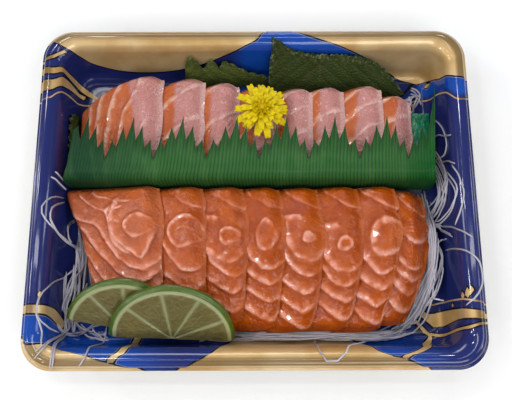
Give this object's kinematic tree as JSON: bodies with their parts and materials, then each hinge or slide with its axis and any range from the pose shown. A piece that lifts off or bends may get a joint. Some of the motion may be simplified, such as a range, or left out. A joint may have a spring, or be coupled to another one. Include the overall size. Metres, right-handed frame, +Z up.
{
  "type": "sashimi tray",
  "caption": "Rectangular printed plastic tray packed with overlapping slices of raw salmon, a toothed green film divider, lime, flower, leaves and shredded radish.",
  "frame": {"origin": "centre of the tray's foot, on the surface that the tray stands on", "axes": "+X to the right along the rows of slices, +Y to the back of the tray, +Z up"},
  "size_m": [0.2, 0.158, 0.0319],
  "materials": {
    "printed_plastic": "glossy thermoformed sheet printed in blue and gold",
    "salmon_loin": "wet orange flesh with pale fat lines",
    "salmon_belly": "wet paler flesh with a silver-pink skin side",
    "green_film": "thin ribbed green film",
    "emerald_film": "creased shiny green film",
    "leaf": "dark green leaf, slightly shiny",
    "petals": "soft yellow petals",
    "lime": "green rind, pale pith and moist pulp",
    "radish": "wet translucent white shreds"
  },
  "bodies": {
    "root": {"tray": "printed_plastic", "front_slice_1": "salmon_loin", "front_slice_2": "salmon_loin", "front_slice_3": "salmon_loin", "front_slice_4": "salmon_loin", "front_slice_5": "salmon_loin", "front_slice_6": "salmon_loin", "front_slice_7": "salmon_loin", "front_slice_8": "salmon_loin", "back_slice_1": "salmon_belly", "back_slice_2": "salmon_belly", "back_slice_3": "salmon_belly", "back_slice_4": "salmon_belly", "back_slice_5": "salmon_belly", "back_slice_6": "salmon_belly", "back_slice_7": "salmon_belly", "back_slice_8": "salmon_belly", "divider": "green_film", "leaf_right": "leaf", "leaf_left": "leaf", "leaf_side": "leaf", "flower": "petals", "lime_front": "lime", "lime_back": "lime", "sachet": "emerald_film", "radish_bed": "radish"}
  },
  "joints": []
}
